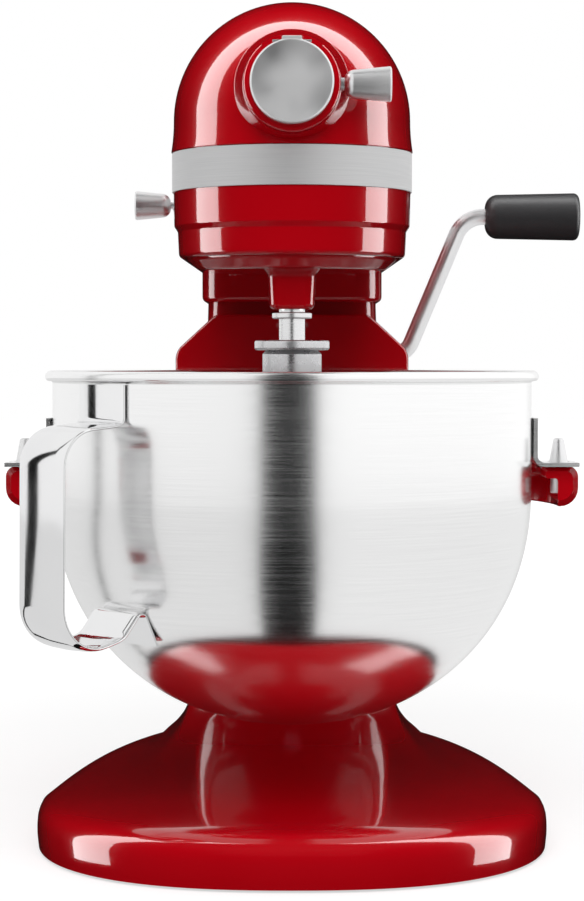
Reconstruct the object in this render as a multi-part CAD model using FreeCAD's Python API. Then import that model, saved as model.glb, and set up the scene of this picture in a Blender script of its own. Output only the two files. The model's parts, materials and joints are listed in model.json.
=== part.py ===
import FreeCAD, Part
import math
import os

V = FreeCAD.Vector
os.makedirs("parts", exist_ok=True)

# Bowl-lift stand mixer, in mm. Every piece is drawn about the vertical mixing axis, with z measured
# from the table, x to the right and y to the rear. Writing a piece moves the mixing axis to
# (AXIS_X, AXIS_Y), so that the origin is the centre of the overall outline on the table.
AXIS_X = -10.2
AXIS_Y = -59.5

# Stand
FOOT_LIFT = 1.2
FOOT_R = 11.0
COLUMN_SEAM_Z = 96.0
COLUMN_TOP_Z = 266.8
COLUMN_FRONT = 139.0
COLUMN_REAR = 214.0

# Head
SEAM_Z = 322.0
HEAD_LOW_Z = 284.6
HEAD_WALL = 3.5
HEAD_SIDE = 58.0
ARCH_R = 57.7
ARCH_Z = 351.3
HEAD_REAR_Y = 190.0
HEAD_TAPER = 3.0
BAND_Z = (316.7, 335.7)
BAND_PROUD = 0.6
HEAD_LIP = 0.9

# Attachment hub
HUB_Z = 362.5
HUB_BORE_R = 15.9
HUB_BOSS_R = 22.4
HUB_FACE_Y = -72.0
HUB_FLOOR_Y = -58.5
COVER_R = 19.3
COVER_PIN = (-69.0, HUB_Z + 19.0)

# Gear train, module in mm
MODULE = 1.5
CENTRE_TEETH = 48
PINION_TEETH = 16
MITER_TEETH = 28
WHEEL_TEETH = 36
MOTOR_TEETH = 12
RING_TEETH = 45
PLANET_TEETH = 13
BACKLASH = 0.5
PLANET_Y = -MODULE * (RING_TEETH - PLANET_TEETH) / 2
SECOND_Y = MODULE * (CENTRE_TEETH + PINION_TEETH) / 2
MOTOR_Z = 338.0

# Bowl and its support
BOWL_R = 117.0
BOWL_SHEET = 1.2
BOWL_LOW_Z = 57.2
BOWL_ROUND_Z = 171.5
BOWL_RIM_Z = 230.0
BOWL_POWER = 2.12
SEAT_Z = 183.4
PIN_X = 131.0
LIFT_TRAVEL = 28.0

# Lift lever
PIVOT = V(0, 170.0, 238.0)
ROD_R = 4.5
CRANK_R = LIFT_TRAVEL / 2 / math.sin(math.radians(60))
GRIP_Z = 315.5
GRIP_X = (108.3, 160.6)


def flat(z):
    return lambda u, v: V(u, v, z)


def front(y):
    return lambda u, v: V(u, y, v)


def side(x):
    return lambda u, v: V(x, u, v)


def box(x0, x1, y0, y1, z0, z1):
    return Part.makeBox(x1 - x0, y1 - y0, z1 - z0, V(x0, y0, z0))


def rod(r, start, end):
    return Part.makeCylinder(r, (end - start).Length, start, end - start)


def tube(r_out, r_in, start, end):
    return rod(r_out, start, end).cut(rod(r_in, start, end))


def join(first, *others):
    return first.fuse(list(others)).removeSplitter()


def mirrored(shape):
    return shape.mirror(V(0, 0, 0), V(1, 0, 0))


def rounded(corners, place, closed=True):
    """Wire through (u, v, radius) corners; place turns (u, v) into a point in space."""
    count = len(corners)
    turns = []
    for i, (u, v, r) in enumerate(corners):
        here = V(u, v, 0)
        if r == 0 or (not closed and i in (0, count - 1)):
            turns.append((here, None, here))
            continue
        a = (V(*corners[i - 1][:2], 0) - here).normalize()
        b = (V(*corners[(i + 1) % count][:2], 0) - here).normalize()
        half = a.getAngle(b) / 2
        middle = (a + b).normalize()
        bulge = here + middle * (r / math.sin(half) - r)
        turns.append((here + a * (r / math.tan(half)), bulge, here + b * (r / math.tan(half))))
    edges = []
    for i, (enter, bulge, leave) in enumerate(turns):
        if bulge:
            points = [place(p.x, p.y) for p in (enter, bulge, leave)]
            edges.append(Part.Arc(*points).toShape())
        if closed or i < count - 1:
            target = turns[(i + 1) % count][0]
            if (target - leave).Length > 1e-6:
                edges.append(Part.makeLine(place(leave.x, leave.y), place(target.x, target.y)))
    return Part.Wire(edges)


def slab(corners, place, direction):
    return Part.Face(rounded(corners, place)).extrude(direction)


def turned(corners, point=V(0, 0, 0), direction=V(0, 0, 1), angle=360):
    """Solid of revolution: (radius, height, corner radius) about a line from point along direction."""
    shape = Part.Face(rounded(corners, front(0))).revolve(V(0, 0, 0), V(0, 0, 1), angle)
    shape.Placement = FreeCAD.Placement(point, FreeCAD.Rotation(V(0, 0, 1), direction))
    return shape


def ribbon(path, thick):
    """Closed corner list of a strip of even thickness along a path of (u, v, bend radius)."""
    sides = []
    for hand in (1, -1):
        row = []
        for i, (u, v, r) in enumerate(path):
            ways = []
            if i > 0:
                ways.append((V(u, v, 0) - V(*path[i - 1][:2], 0)).normalize())
            if i < len(path) - 1:
                ways.append((V(*path[i + 1][:2], 0) - V(u, v, 0)).normalize())
            normals = [V(-w.y, w.x, 0) * hand for w in ways]
            shift = normals[0]
            turn = 0
            if len(ways) == 2:
                shift = (normals[0] + normals[1]) * (1 / (1 + normals[0].dot(normals[1])))
                turn = math.copysign(1, ways[0].cross(ways[1]).z)
            corner = V(u, v, 0) + shift * (thick / 2)
            row.append((corner.x, corner.y, r - hand * turn * thick / 2 if r else 0))
        sides.append(row)
    return sides[0] + sides[1][::-1]


def write(node, *shapes):
    shape = shapes[0] if len(shapes) == 1 else Part.Compound(list(shapes))
    shape = shape.copy()
    shape.translate(V(AXIS_X, AXIS_Y, 0))
    shape.exportStep("parts/" + node + ".step")


# Stand


def egg(z, half, near, far, widest, near_power, far_power, taper=0, count=22):
    """Closed smooth outline in plan: half width, front end, rear end and y of the widest place."""
    points = []
    for i in range(count + 1):
        t = math.pi * (i / count - 0.5)
        c, s = max(0, math.cos(t)), math.sin(t)
        power = far_power if s > 0 else near_power
        reach = far - widest if s > 0 else widest - near
        run = reach * math.copysign(abs(s) ** (2 / power), s)
        x = half * c ** (2 / power) * (1 - taper * max(0, run))
        points.append(V(0 if i in (0, count) else x, widest + run, z))
    curve = Part.BSplineCurve()
    curve.interpolate(points, InitialTangent=V(1, 0, 0), FinalTangent=V(-1, 0, 0))
    right = curve.toShape()
    return Part.Wire([right, mirrored(right)])


BASE_SECTIONS = [
    (FOOT_LIFT, 123.6, -125.6, 215.4, 0, 2.7, 3.2, 0.00105),
    (7.0, 124.2, -126.2, 216.4, 0, 2.7, 3.2, 0.00105),
    (13.0, 122.4, -124.6, 216.0, 0, 2.7, 3.2, 0.00105),
    (18.0, 117.2, -119.6, 215.6, 0, 2.65, 3.2, 0.00105),
    (21.5, 109.5, -111.0, 215.2, 3, 2.6, 3.2, 0.00105),
    (24.0, 98.0, -96.0, 215.0, 12, 2.55, 3.2, 0.0010),
    (25.4, 86.0, -66.0, 214.8, 40, 2.5, 3.3, 0.0007),
    (26.6, 77.5, -18.0, 214.6, 80, 2.5, 3.5, 0.0004),
    (28.6, 71.0, 38.0, 214.4, 115, 2.7, 3.7),
    (32.5, 65.0, 84.0, 214.2, 142, 3.0, 3.9),
    (39.0, 60.0, 112.0, 214.1, 156, 3.4, 4.1),
    (50.0, 56.5, 127.0, 214.0, 166, 3.9, 4.3),
    (70.0, 54.0, 135.0, 214.0, 173, 4.4, 4.6),
    (COLUMN_SEAM_Z, 52.5, 137.0, 214.0, 176, 4.8, 4.8),
]
FOOT_SPOTS = [(0, -104), (-88, -52), (88, -52), (-62, 176), (62, 176)]
BOLT_SPOTS = [(-27, 157), (27, 157), (-27, 194), (27, 194)]


def base_casting():
    body = Part.makeLoft([egg(*s) for s in BASE_SECTIONS], True, False)
    inner = []
    for z, half, near, far, *rest in BASE_SECTIONS:
        inner.append(egg(z - 5.5, half - 6.5, near + 6.5, far - 6.5, *rest))
    hollow = Part.makeLoft(inner, True, False)
    pads = [rod(FOOT_R + 3, V(x, y, 0), V(x, y, 14)) for x, y in FOOT_SPOTS]
    body = body.cut(hollow.cut(pads))
    for x, y in FOOT_SPOTS:
        body = body.cut(rod(FOOT_R + 0.1, V(x, y, 0), V(x, y, 5)))
    for x, y in BOLT_SPOTS:
        body = body.cut(rod(4.2, V(x, y, 80), V(x, y, 100)))
    return body


def rubber_feet():
    profile = [(0, 0, 0), (FOOT_R - 0.2, 0, 1.2), (FOOT_R, 5, 0), (0, 5, 0)]
    return [turned(profile, V(x, y, 0)) for x, y in FOOT_SPOTS]


def column_bolts():
    head = [(0, 83.5, 0), (6.5, 83.5, 1), (6.5, 90.5, 0), (4, 90.5, 0), (4, 108, 0.6), (0, 108, 0)]
    return [turned(head, V(x, y, 0)) for x, y in BOLT_SPOTS]


def column_casting():
    low = egg(*BASE_SECTIONS[-1])
    middle = egg(150.0, 50.0, 138.4, 214.0, 176, 5.2, 5.2)
    high = egg(COLUMN_TOP_Z, 46.6, COLUMN_FRONT, COLUMN_REAR, 176, 5.6, 5.6)
    body = Part.makeLoft([low, middle, high], True, False)
    room = slab([(-40, 146, 6), (40, 146, 6), (40, 207, 6), (-40, 207, 6)], flat(112), V(0, 0, 151.5))
    window = slab([(-13, 210, 4), (7, 210, 4), (7, 262, 4), (-13, 262, 4)], front(130), V(0, 30, 0))
    shaft_hole = rod(7.5, V(30, PIVOT.y, PIVOT.z), V(60, PIVOT.y, PIVOT.z))
    body = body.cut([room, window, shaft_hole])
    for x, y in BOLT_SPOTS:
        body = body.cut(rod(4.0, V(x, y, 90), V(x, y, 108)))
    return body


# Head


def upper_edges(y, inset, low, lip):
    """Right-hand outline of the domed part from the seam to the top, with a small lip over the band."""
    r = ARCH_R - inset
    s = HEAD_SIDE - inset
    z = BAND_Z[1] + 0.2
    spots = [(s, low), (s, z), (s + lip, z), (s + lip / 3 - 0.2, z + 7)]
    spots += [(r, ARCH_Z), (r * 0.6, ARCH_Z + r * 0.8), (0, ARCH_Z + r)]
    p = [V(x, y, height) for x, height in spots]
    edges = [Part.makeLine(p[0], p[1])]
    if lip:
        edges.append(Part.makeLine(p[1], p[2]))
    edges.append(Part.Arc(p[2], p[3], p[4]).toShape())
    edges.append(Part.Arc(p[4], p[5], p[6]).toShape())
    return edges


def upper_section(y, inset, low, lip):
    right = upper_edges(y, inset, low, lip)
    left = [mirrored(e) for e in right]
    s = HEAD_SIDE - inset
    return Part.Wire(Part.__sortEdges__(right + left + [Part.makeLine(V(-s, y, low), V(s, y, low))]))


def upper_body(inset, low, lip):
    """Domed part of the head: a round nose about the mixing axis and a tapering barrel behind it."""
    s = HEAD_SIDE - inset
    edges = upper_edges(0, inset, low, lip)
    edges.append(Part.makeLine(V(0, 0, ARCH_Z + ARCH_R - inset), V(0, 0, low)))
    edges.append(Part.makeLine(V(0, 0, low), V(s, 0, low)))
    nose = Part.Face(Part.Wire(edges)).revolve(V(0, 0, 0), V(0, 0, 1), -180)
    rear = upper_section(HEAD_REAR_Y, inset + HEAD_TAPER, low, lip)
    barrel = Part.makeLoft([upper_section(0, inset, low, lip), rear], True, True)
    return nose.fuse(barrel)


def rear_section(y, half, arch_z, low, inset):
    a = half - inset
    b = low + inset
    c = 12.0 - inset
    k = c * (1 - math.sqrt(0.5))
    edges = [
        Part.makeLine(V(-a + c, y, b), V(a - c, y, b)),
        Part.Arc(V(a - c, y, b), V(a - k, y, b + k), V(a, y, b + c)).toShape(),
        Part.makeLine(V(a, y, b + c), V(a, y, arch_z)),
        Part.Arc(V(a, y, arch_z), V(0, y, arch_z + a), V(-a, y, arch_z)).toShape(),
        Part.makeLine(V(-a, y, arch_z), V(-a, y, b + c)),
        Part.Arc(V(-a, y, b + c), V(-a + k, y, b + k), V(-a + c, y, b)).toShape(),
    ]
    return Part.Wire(edges)


def rear_body(inset, y_start=HEAD_REAR_Y):
    """Rounded rear end of the head, from the barrel's end to a small flat back."""
    rows = [(y_start, 54.8, 351.6, 287.4), (214, 53.4, 351.0, 288.4), (232, 48.0, 348.8, 293.5)]
    rows += [(241, 39.0, 345.5, 301.0), (245 - inset, 29.0, 342.0, 309.0)]
    return Part.makeLoft([rear_section(*row, inset) for row in rows], True, False)


def head_upper_housing():
    shell = upper_body(0, SEAM_Z, HEAD_LIP).cut(upper_body(HEAD_WALL, SEAM_Z - 1, 0))
    drive_hole = rod(10.0, V(0, -70, HUB_Z), V(0, -40, HUB_Z))
    return shell.cut(drive_hole)


def lower_corners():
    return [(55.2, HEAD_LOW_Z, 2.5), (55.8, 297.6, 1.0), (57.4, 300.2, 1.0), (HEAD_SIDE, SEAM_Z, 0)]


def lower_body():
    corners = lower_corners()
    profile = [(0, HEAD_LOW_Z, 0)] + corners + [(0, SEAM_Z, 0)]
    nose = Part.Face(rounded(profile, front(0))).revolve(V(0, 0, 0), V(0, 0, 1), -180)
    wires = []
    for y, taper in ((0, 0), (HEAD_REAR_Y, HEAD_TAPER)):
        right = [(x - taper, z, r) for x, z, r in corners]
        left = [(-x, z, r) for x, z, r in reversed(right)]
        wires.append(rounded(right + left, front(y)))
    return nose.fuse(Part.makeLoft(wires, True, True))


def head_lower_housing():
    plan = [(-49.2, 126, 15), (49.2, 126, 15), (49.2, 220, 18), (-49.2, 220, 18)]
    pedestal = slab(plan, flat(COLUMN_TOP_Z), V(0, 0, 20.2))
    low_edges = [e for e in pedestal.Edges if e.BoundBox.ZMax < COLUMN_TOP_Z + 0.2]
    pedestal = pedestal.makeFillet(3.0, low_edges)
    body = lower_body().fuse(pedestal).removeSplitter()
    motor_room = box(-50, 50, 66, 186, 287.5, 330)
    gear_room = rod(53.5, V(0, 0, 303), V(0, 0, 330)).common(box(-60, 60, -60, 0, 300, 340))
    gear_room = gear_room.fuse(box(-53, 53, 0, 62, 303, 330))
    planet_room = rod(52.0, V(0, 0, 280), V(0, 0, 297))
    shaft_hole = rod(12.0, V(0, 0, 290), V(0, 0, 310))
    second_hole = rod(8.0, V(0, SECOND_Y, 299), V(0, SECOND_Y, 310))
    slot_plan = [(88, 310.8, 2.6), (140, 310.8, 2.6), (140, 316.0, 2.6), (88, 316.0, 2.6)]
    slot = slab(slot_plan, side(-70), V(30, 0, 0))
    pedestal_room = box(-43, 43, 132, 184, 272, 290)
    cord_hole = rod(5.0, V(0, 180, 277), V(0, 230, 277))
    rooms = [motor_room, pedestal_room, gear_room, planet_room]
    return body.cut(rooms + [shaft_hole, second_hole, slot, cord_hole])


def rear_end_cover():
    shell = rear_body(0).cut(rear_body(3.0, HEAD_REAR_Y - 0.01))
    for i in range(6):
        z = 338 + 6.5 * i
        reach = 21 - 0.9 * abs(i - 1.5)
        louvre = [(-reach, z, 1.6), (reach, z, 1.6), (reach, z + 3.2, 1.6), (-reach, z + 3.2, 1.6)]
        shell = shell.cut(slab(louvre, front(236), V(0, 20, 0)))
    return shell


def trim_band():
    z0, z1 = BAND_Z
    plan = []
    for inset in (-BAND_PROUD, 0.0):
        s = HEAD_SIDE - inset
        disc = rod(s, V(0, 0, z0), V(0, 0, z1)).common(box(-70, 70, -70, 0, z0, z1))
        t = s - HEAD_TAPER
        sides = [(-s, 0, 0), (s, 0, 0), (t, HEAD_REAR_Y, 0), (-t, HEAD_REAR_Y, 0)]
        barrel = slab(sides, flat(z0), V(0, 0, z1 - z0))
        rear = rear_body(inset).common(box(-70, 70, HEAD_REAR_Y, 260, z0, z1))
        plan.append(disc.fuse([barrel, rear]))
    return plan[0].cut(plan[1])


def band_screw():
    profile = [(0, 0, 0), (3.2, 0, 0.8), (3.2, 1.6, 0), (0, 1.6, 0)]
    screw = turned(profile, V(0, 247.5, 326.2), V(0, -1, 0))
    return screw.cut(box(-2.4, 2.4, 246.9, 248, 325.8, 326.6))


# Attachment hub


def hub_boss():
    profile = [(HUB_BORE_R, 0, 0.8), (HUB_BOSS_R, 0, 1.6), (HUB_BOSS_R + 0.6, 40, 0), (10.0, 40, 0)]
    profile += [(10.0, HUB_FLOOR_Y - HUB_FACE_Y, 0), (HUB_BORE_R, HUB_FLOOR_Y - HUB_FACE_Y, 0)]
    boss = turned(profile, V(0, HUB_FACE_Y, HUB_Z), V(0, 1, 0))
    boss = boss.cut(upper_body(0, SEAM_Z, HEAD_LIP))
    y, z = COVER_PIN
    notch = box(-4.9, 4.9, HUB_FACE_Y - 1, y + 5, HUB_Z + 10, HUB_Z + 30)
    relief = box(-14, 14, HUB_FACE_Y - 1, -70, HUB_Z + 15.5, HUB_Z + 30)
    pin_hole = rod(1.2, V(-9, y, z), V(9, y, z))
    clamp_hole = rod(3.1, V(10, -63, HUB_Z), V(30, -63, HUB_Z))
    return boss.cut([notch, relief, pin_hole, clamp_hole])


def hub_cover():
    profile = [(0, 0, 0), (COVER_R, 0, 1.0), (COVER_R, 5.2, 0.5), (0, 5.2, 0)]
    disc = turned(profile, V(0, -78, HUB_Z), V(0, 1, 0))
    y, z = COVER_PIN
    lug_side = [(-73.5, z - 2.75, 0), (y + 2.6, z - 2.75, 1.8), (y + 2.6, z + 2.4, 1.8)]
    lug_side += [(y - 2.4, z + 2.4, 1.8), (-73.5, z - 1.0, 0)]
    lug = slab(lug_side, side(-4.5), V(9, 0, 0))
    return join(disc, lug).cut(rod(1.25, V(-9, y, z), V(9, y, z)))


def hub_pin():
    y, z = COVER_PIN
    return rod(1.2, V(-9, y, z), V(9, y, z))


def bullet(length, r_nose, r_end):
    return [(0, 0, 0), (r_nose, 0, r_nose * 0.8), (r_end, length, 1.2), (0, length, 0)]


def attachment_knob():
    knob = turned(bullet(22, 6.2, 8.25), V(24, -63, HUB_Z), V(1, 0, 0))
    return join(knob, rod(3.05, V(16.4, -63, HUB_Z), V(30, -63, HUB_Z)))


# Speed control


def speed_knob():
    return turned(bullet(19.4, 6.0, 7.95), V(-66.2, 135, 319.5), V(-1, 0, 0))


def speed_stem():
    corners = [(-45, 313.4, 0), (-62.0, 313.4, 3.0), (-63.2, 319.5, 3.0), (-68, 319.5, 0)]
    spine = rounded(corners, front(135), closed=False)
    circle = Part.Wire(Part.makeCircle(2.0, V(-45, 135, 313.4), V(-1, 0, 0)))
    stem = spine.makePipeShell([circle], True, False)
    return stem.cut(speed_knob())


def speed_slider():
    body = slab([(128, 305, 2), (142, 305, 2), (142, 319, 2), (128, 319, 2)], side(-49.4), V(5, 0, 0))
    return body.cut(speed_stem())


# Gears


def tooth_angle(radius, pitch_r, teeth, play):
    """Half angle of an involute tooth at a radius, thinned by half of the play along the pitch circle."""
    base = pitch_r * math.cos(math.radians(20))
    lean = math.tan(math.radians(20)) - math.radians(20)
    turn = math.acos(min(1, base / max(radius, base)))
    return math.pi / 2 / teeth - play / 4 / pitch_r + lean - (math.tan(turn) - turn)


def tooth_ring(teeth, phase, steps):
    """Closed outline from (radius, half angle) steps that run up one flank of a tooth."""
    points = []
    for i in range(teeth):
        middle = phase + 2 * math.pi * i / teeth
        for r, half in steps:
            points.append(V(r * math.cos(middle - half), r * math.sin(middle - half), 0))
        for r, half in reversed(steps):
            points.append(V(r * math.cos(middle + half), r * math.sin(middle + half), 0))
    return points


def spur_points(teeth, phase, play, add=0.85, ded=1.2):
    pitch_r = MODULE * teeth / 2
    radii = [pitch_r + h * MODULE for h in (-ded, -0.35, 0.25, add)]
    return tooth_ring(teeth, phase, [(r, tooth_angle(r, pitch_r, teeth, play)) for r in radii])


def spur(teeth, phase, play, thick, add=0.85, ded=1.2):
    points = spur_points(teeth, phase, play, add, ded)
    return Part.Face(Part.makePolygon(points + points[:1])).extrude(V(0, 0, thick))


def bevel(teeth, mate, phase, face, back):
    """Bevel gear about z with its apex at the origin and its large end facing down."""
    pitch_r = MODULE * teeth / 2
    drop = MODULE * mate / 2
    cone = math.hypot(pitch_r, drop)
    slope = math.atan2(pitch_r, drop)
    virtual = pitch_r / math.cos(slope)
    steps = []
    for h in (-1.2 * MODULE, -0.35 * MODULE, 0.25 * MODULE, 0.8 * MODULE):
        half = tooth_angle(virtual + h, virtual, virtual * 2 / MODULE, BACKLASH) * (virtual + h)
        steps.append((drop * math.tan(slope + h / cone), half / (pitch_r + h * math.cos(slope))))
    wires = []
    for scale in (1, 1 - face / cone):
        points = [V(p.x * scale, p.y * scale, -drop * scale) for p in tooth_ring(teeth, phase, steps)]
        wires.append(Part.makePolygon(points + points[:1]))
    crown = Part.makeLoft(wires, True, True)
    root = steps[0][0]
    hub = [(0, -drop - back, 0), (root * 0.6, -drop - back, 0), (root - 0.3, -drop, 0), (0, -drop, 0)]
    return join(crown, turned(hub))


def centre_gear():
    toward_second = math.pi / 2
    gear = spur(CENTRE_TEETH, toward_second, BACKLASH, 9)
    gear.translate(V(0, 0, 309.5))
    lightened = tube(30, 15, V(0, 0, 316), V(0, 0, 320))
    return gear.cut([rod(7, V(0, 0, 300), V(0, 0, 330)), lightened])


def miter_gear():
    gear = bevel(MITER_TEETH, MITER_TEETH, -math.pi / 2 + math.pi / MITER_TEETH, 8, 6)
    gear.translate(V(0, 0, HUB_Z))
    return gear.cut(rod(7, V(0, 0, 320), V(0, 0, 360)))


def hub_gear():
    gear = bevel(MITER_TEETH, MITER_TEETH, -math.pi / 2, 8, 6)
    gear.Placement = FreeCAD.Placement(V(0, 0, HUB_Z), FreeCAD.Rotation(V(1, 0, 0), -90))
    return gear.cut(rod(8.5, V(0, -60, HUB_Z), V(0, 0, HUB_Z)))


def hub_socket():
    shaft = rod(8.5, V(0, -58.0, HUB_Z), V(0, -14.5, HUB_Z))
    square = box(-4.8, 4.8, -60, -38, HUB_Z - 4.8, HUB_Z + 4.8)
    return shaft.cut(square)


def hub_bush():
    sleeve = tube(9.9, 8.55, V(0, -54.5, HUB_Z), V(0, -32, HUB_Z))
    collar = tube(15, 8.55, V(0, -46, HUB_Z), V(0, -41, HUB_Z))
    return sleeve.fuse(collar)


def second_gear():
    wheel = bevel(WHEEL_TEETH, MOTOR_TEETH, math.pi / 2, 8, 4)
    wheel.translate(V(0, SECOND_Y, MOTOR_Z))
    return wheel.cut(rod(6, V(0, SECOND_Y, 300), V(0, SECOND_Y, 350)))


def second_pinion():
    pinion = spur(PINION_TEETH, -math.pi / 2 + math.pi / PINION_TEETH, BACKLASH, 10)
    pinion.translate(V(0, SECOND_Y, 309))
    return pinion.cut(rod(6, V(0, SECOND_Y, 300), V(0, SECOND_Y, 350)))


def second_shaft():
    return rod(6, V(0, SECOND_Y, 300.5), V(0, SECOND_Y, 334))


def second_bush():
    return tube(8, 6.05, V(0, SECOND_Y, 299), V(0, SECOND_Y, 306))


def motor_pinion():
    gear = bevel(MOTOR_TEETH, WHEEL_TEETH, math.pi / 2 + math.pi / MOTOR_TEETH, 8, 4)
    gear.Placement = FreeCAD.Placement(V(0, SECOND_Y, MOTOR_Z), FreeCAD.Rotation(V(1, 0, 0), 90))
    return gear.cut(rod(4, V(0, 50, MOTOR_Z), V(0, 100, MOTOR_Z)))


# Planetary


def centre_shaft():
    return rod(7, V(0, 0, 278.5), V(0, 0, 346))


def centre_bush():
    return tube(12, 7.05, V(0, 0, 298), V(0, 0, 307)).fuse(tube(16, 7.05, V(0, 0, 303), V(0, 0, 306.5)))


def ring_gear():
    blank = rod(45.0, V(0, 0, 288.5), V(0, 0, 297))
    teeth = spur(RING_TEETH, -math.pi / 2, -BACKLASH, 20, add=1.25, ded=0.75)
    teeth.translate(V(0, 0, 280))
    return blank.cut(teeth)


def planet_pinion():
    gear = spur(PLANET_TEETH, -math.pi / 2, BACKLASH, 7.5)
    gear.translate(V(0, PLANET_Y, 288.8))
    return gear.cut(rod(6, V(0, PLANET_Y, 280), V(0, PLANET_Y, 300)))


def planetary_housing():
    dish = [(0, 278.5, 0), (45.2, 278.5, 5.0), (51.0, 283.8, 3.0), (51.0, 287.2, 0.8)]
    dish += [(48.0, 287.2, 0.8), (46.5, 282.0, 2.0), (0, 282.0, 0)]
    body = turned(dish)
    hub = turned([(0, 279, 0), (11.5, 279, 0), (11.0, 287.5, 0.8), (0, 287.5, 0)])
    wires = []
    for z, half, corner in ((279.5, 13.4, 6.0), (277.0, 11.9, 5.4), (260.8, 10.7, 4.8), (259.5, 9.6, 4.4)):
        signs = ((-1, -1), (1, -1), (1, 1), (-1, 1))
        plan = [(sx * half, PLANET_Y + sy * half, corner) for sx, sy in signs]
        wires.append(rounded(plan, flat(z)))
    nose = Part.makeLoft(wires, True, True)
    inner = turned([(0, 279, 0), (11.0, 279, 0), (10.6, 286.5, 0.8), (0, 286.5, 0)], V(0, PLANET_Y, 0))
    body = join(body, hub, nose, inner)
    centre_hole = rod(7, V(0, 0, 270), V(0, 0, 300))
    nose_hole = rod(8.0, V(0, PLANET_Y, 250), V(0, PLANET_Y, 300))
    return body.cut([centre_hole, nose_hole])


def nose_bush():
    return tube(8.0, 6.25, V(0, PLANET_Y, 260), V(0, PLANET_Y, 286))


def nose_washer():
    return tube(9.5, 6.25, V(0, PLANET_Y, 255.0), V(0, PLANET_Y, 258.0))


def beater_shaft():
    thick = rod(6.2, V(0, PLANET_Y, 219), V(0, PLANET_Y, 288.8))
    thin = rod(6.0, V(0, PLANET_Y, 288.8), V(0, PLANET_Y, 296.3))
    return join(thick, thin).cut(rod(2.4, V(-20, PLANET_Y, 233), V(20, PLANET_Y, 233)))


def cross_pin():
    return rod(2.4, V(-11, PLANET_Y, 233), V(11, PLANET_Y, 233))


def dough_hook():
    flange = [(6.3, 239.9, 0.5), (18.0, 239.9, 1.2), (18.0, 244.7, 1.2), (6.3, 244.7, 0.5)]
    hub = [(0, 212, 0), (9.0, 212, 4.0), (14.2, 219, 3.0), (14.2, 238.0, 0.8)]
    hub += [(12.6, 239.9, 0), (0, 239.9, 0)]
    spots = [(0, 0, 216), (1, 0, 208), (16, 2, 190), (33, 1, 167), (38, -8, 143), (28, -24, 122)]
    spots += [(8, -30, 111), (-12, -23, 106), (-19, -8, 105.5)]
    curve = Part.BSplineCurve()
    curve.interpolate([V(x, PLANET_Y + y, z) for x, y, z in spots])
    spine = Part.Wire(curve.toShape())
    first = curve.FirstParameter
    circle = Part.makeCircle(7.2, curve.value(first), curve.tangent(first)[0])
    arm = spine.makePipeShell([Part.Wire(circle)], True, False)
    tip = curve.value(curve.LastParameter)
    arm = arm.makeFillet(5.0, [e for e in arm.Edges if (e.CenterOfMass - tip).Length < 1])
    body = join(turned(hub, V(0, PLANET_Y, 0)), turned(flange, V(0, PLANET_Y, 0)), arm)
    bore = rod(6.3, V(0, PLANET_Y, 218.5), V(0, PLANET_Y, 250))
    slot_side = [(-2.7, 230.3, 2.6), (2.7, 230.3, 2.6), (2.7, 250, 0), (-2.7, 250, 0)]
    slot = slab(slot_side, side(-12), V(24, 0, 0))
    slot.translate(V(0, PLANET_Y, 0))
    return body.cut([bore, slot])


# Motor


def motor_shaft():
    return join(rod(4, V(0, 64, MOTOR_Z), V(0, 80, MOTOR_Z)), rod(5, V(0, 80, MOTOR_Z), V(0, 180, MOTOR_Z)))


def rotor():
    return tube(22.0, 5.0, V(0, 104, MOTOR_Z), V(0, 150, MOTOR_Z))


def stator():
    poles = 9
    core = tube(39.0, 33.0, V(0, 106, MOTOR_Z), V(0, 148, MOTOR_Z))
    for i in range(poles):
        pole = box(-3.2, 3.2, 106, 148, MOTOR_Z + 22.6, MOTOR_Z + 34)
        pole.rotate(V(0, 0, MOTOR_Z), V(0, 1, 0), 360 * i / poles)
        core = core.fuse(pole)
    return core.removeSplitter()


def windings():
    coils = []
    for i in range(9):
        outer = box(-5.6, 5.6, 101.6, 152.4, MOTOR_Z + 25.5, MOTOR_Z + 32)
        inner = box(-3.3, 3.3, 105.9, 148.1, MOTOR_Z + 20, MOTOR_Z + 40)
        coil = outer.makeFillet(2.2, [e for e in outer.Edges if abs(e.tangentAt(0).z) > 0.9]).cut(inner)
        coil.rotate(V(0, 0, MOTOR_Z), V(0, 1, 0), 360 * i / 9)
        coils.append(coil)
    return coils


def motor_bearings():
    return [tube(13.0, 5.0, V(0, y, MOTOR_Z), V(0, y + 9, MOTOR_Z)) for y in (85, 166)]


def motor_brackets():
    plates = []
    for y, rim in ((84, (95, 106)), (165, (148, 165))):
        plan = [(-46, 287.5, 1), (46, 287.5, 1), (46, MOTOR_Z + 12, 20), (20, MOTOR_Z + 42, 18)]
        plan += [(-20, MOTOR_Z + 42, 18), (-46, MOTOR_Z + 12, 20)]
        stator_seat = tube(39.0, 34.6, V(0, rim[0], MOTOR_Z), V(0, rim[1], MOTOR_Z))
        plate = slab(plan, front(y), V(0, 11, 0)).fuse(stator_seat)
        lightened = box(-36, 36, y + 4, y + 7, 292, MOTOR_Z - 18)
        bearing_seat = rod(13.0, V(0, y + 1, MOTOR_Z), V(0, y + 20, MOTOR_Z))
        shaft_hole = rod(8.0, V(0, y - 1, MOTOR_Z), V(0, y + 20, MOTOR_Z))
        slider_way = box(-47, -42.8, y - 1, y + 12, 303, 321)
        plates.append(plate.cut([bearing_seat, lightened, shaft_hole, slider_way]))
    return plates


def control_board():
    outline = [(-34, 306, 3), (34, 306, 3), (34, 372, 10), (-34, 372, 10)]
    board = slab(outline, front(196), V(0, 1.6, 0))
    capacitor = rod(9, V(-16, 197.6, 352), V(-16, 215, 352))
    relay = box(6, 24, 197.6, 209, 342, 362)
    heat_sink = box(-22, 20, 197.6, 203, 314, 330)
    posts = [rod(2.5, V(x, 176, z), V(x, 196, z)) for x in (-26, 26) for z in (328, 348)]
    return join(board, capacitor, relay, heat_sink, *posts)


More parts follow.
